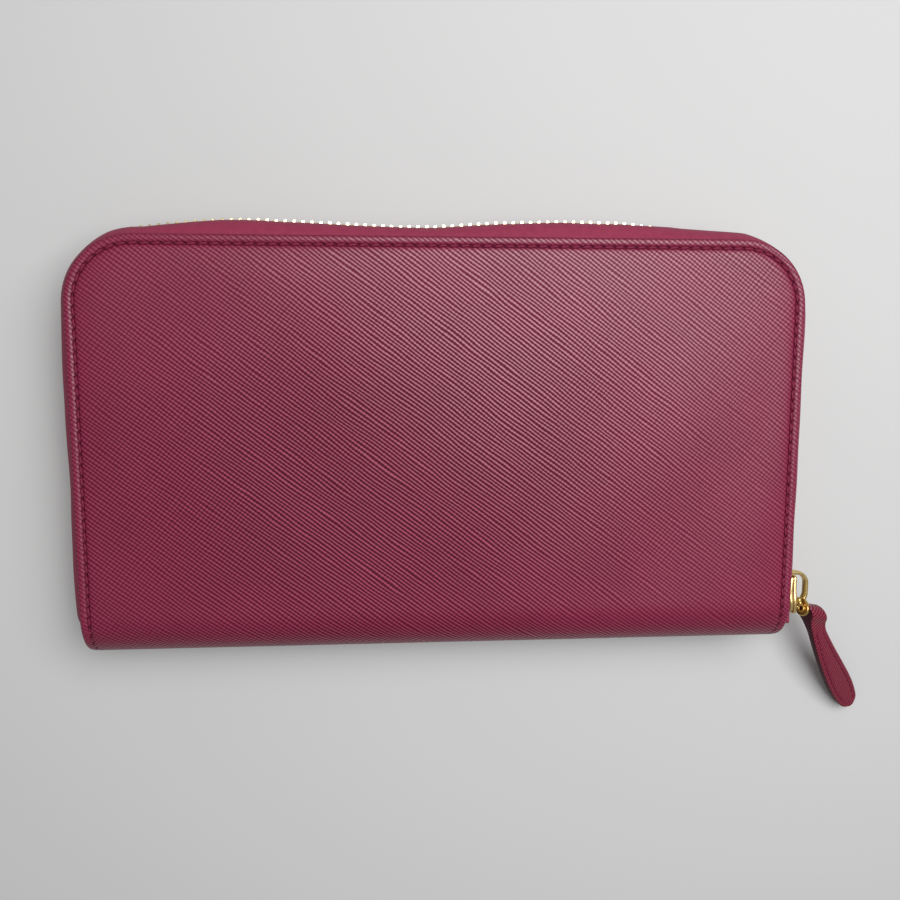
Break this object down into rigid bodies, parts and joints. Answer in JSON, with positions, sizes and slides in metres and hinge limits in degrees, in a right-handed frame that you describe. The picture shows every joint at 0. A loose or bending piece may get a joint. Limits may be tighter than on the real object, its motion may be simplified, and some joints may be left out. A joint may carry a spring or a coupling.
{
  "type": "zip around wallet",
  "caption": "Long wallet in cross-grain leather: a zip runs round its open edges to a slider with a leather pull; inside are card pockets, note compartments and a zipped coin pocket.",
  "frame": {"origin": "middle of the rear cover's outer face, on which the wallet lies", "axes": "+X along the spine towards the slider, +Y from the spine to the far zipped edge, +Z from the rear cover to the front cover"},
  "size_m": [0.2283, 0.1425, 0.025],
  "materials": {
    "outer_leather": "cross-hatch embossed, satin",
    "inner_leather": "cross-hatch embossed, satin",
    "lining_leather": "smooth, matte",
    "zip_tape": "woven twill",
    "thread": "waxed thread",
    "board": "raw board",
    "gold_metal": "polished pale gold plating"
  },
  "bodies": {
    "rear_cover": {"rear_outer_leather": "outer_leather", "rear_board": "board", "rear_lining": "lining_leather", "rear_stitching": "thread", "spine_leather": "outer_leather", "spine_lining": "lining_leather", "rear_card_panel": "lining_leather", "rear_card_pocket_1": "inner_leather", "rear_card_pocket_2": "inner_leather", "rear_card_pocket_3": "inner_leather", "rear_card_pocket_4": "inner_leather", "rear_pocket_stitching": "thread", "zip_tape_rear": "zip_tape", "zip_teeth_rear": "gold_metal", "zip_top_stop_rear": "gold_metal", "zip_bottom_stop": "gold_metal", "zip_end_tab_left": "outer_leather", "zip_end_tab_right": "outer_leather", "gusset_left_rear": "lining_leather", "gusset_right_rear": "lining_leather", "accordion_base": "lining_leather"},
    "front_cover": {"front_outer_leather": "outer_leather", "front_board": "board", "front_lining": "lining_leather", "front_stitching": "thread", "front_card_panel": "lining_leather", "front_card_pocket_1": "inner_leather", "front_card_pocket_2": "inner_leather", "front_card_pocket_3": "inner_leather", "front_card_pocket_4": "inner_leather", "front_pocket_stitching": "thread", "zip_tape_front": "zip_tape", "zip_teeth_front": "gold_metal", "zip_top_stop_front": "gold_metal", "gusset_left_front": "lining_leather", "gusset_right_front": "lining_leather"},
    "coin_pocket": {"coin_rear_wall": "inner_leather", "coin_front_wall": "inner_leather", "coin_band": "lining_leather", "coin_tape_rear": "zip_tape", "coin_tape_front": "zip_tape", "coin_teeth_rear": "gold_metal", "coin_teeth_front": "gold_metal", "coin_zip_stops": "gold_metal"},
    "zip_slider": {"slider_body": "gold_metal", "slider_bridge": "gold_metal"},
    "zip_pull_link": {"pull_link": "gold_metal", "pull_pin": "gold_metal"},
    "zip_pull_tab": {"pull_loop": "outer_leather", "pull_face_leather": "outer_leather", "pull_back_leather": "outer_leather", "pull_stitching": "thread"},
    "coin_zip_slider": {"coin_slider_body": "gold_metal", "coin_slider_bridge": "gold_metal"},
    "coin_zip_pull": {"coin_pull": "gold_metal"}
  },
  "joints": [
    {"name": "cover_open", "type": "hinge", "parent": "rear_cover", "child": "front_cover", "pos_m": [0, -0.055, 0.0125], "axis": [1, 0, 0], "range_deg": [0, 50], "deforming": ["spine_leather", "spine_lining", "accordion_base", "gusset_left_rear", "gusset_right_rear", "gusset_left_front", "gusset_right_front", "zip_tape_rear", "zip_tape_front"]},
    {"name": "coin_pocket_open", "type": "hinge", "parent": "rear_cover", "child": "coin_pocket", "pos_m": [0, -0.055, 0.0125], "axis": [1, 0, 0], "range_deg": [0, 25]},
    {"name": "zip_slide", "type": "slide", "parent": "rear_cover", "child": "zip_slider", "axis": [0, 1, 0], "range_m": [0, 0.072], "deforming": ["zip_teeth_rear", "zip_teeth_front"]},
    {"name": "link_swing", "type": "hinge", "parent": "zip_slider", "child": "zip_pull_link", "pos_m": [0.10275, -0.0451, 0.0125], "axis": [0, 0, 1], "range_deg": [-8, 30]},
    {"name": "pull_lift", "type": "hinge", "parent": "zip_pull_link", "child": "zip_pull_tab", "pos_m": [0.10771, -0.04961, 0.01225], "axis": [-0.8706, 0.0502, 0.4894], "range_deg": [0, 60]},
    {"name": "coin_zip_slide", "type": "slide", "parent": "coin_pocket", "child": "coin_zip_slider", "axis": [-1, 0, 0], "range_m": [0, 0.136], "deforming": ["coin_teeth_rear", "coin_teeth_front"]},
    {"name": "coin_pull_swing", "type": "hinge", "parent": "coin_zip_slider", "child": "coin_zip_pull", "pos_m": [0.07125, 0.04855, 0.0125], "axis": [0, 0, 1], "range_deg": [-25, 0]}
  ],
  "couplings": [
    {"joint": "coin_pocket_open", "follows": "cover_open", "ratio": 0.5}
  ]
}
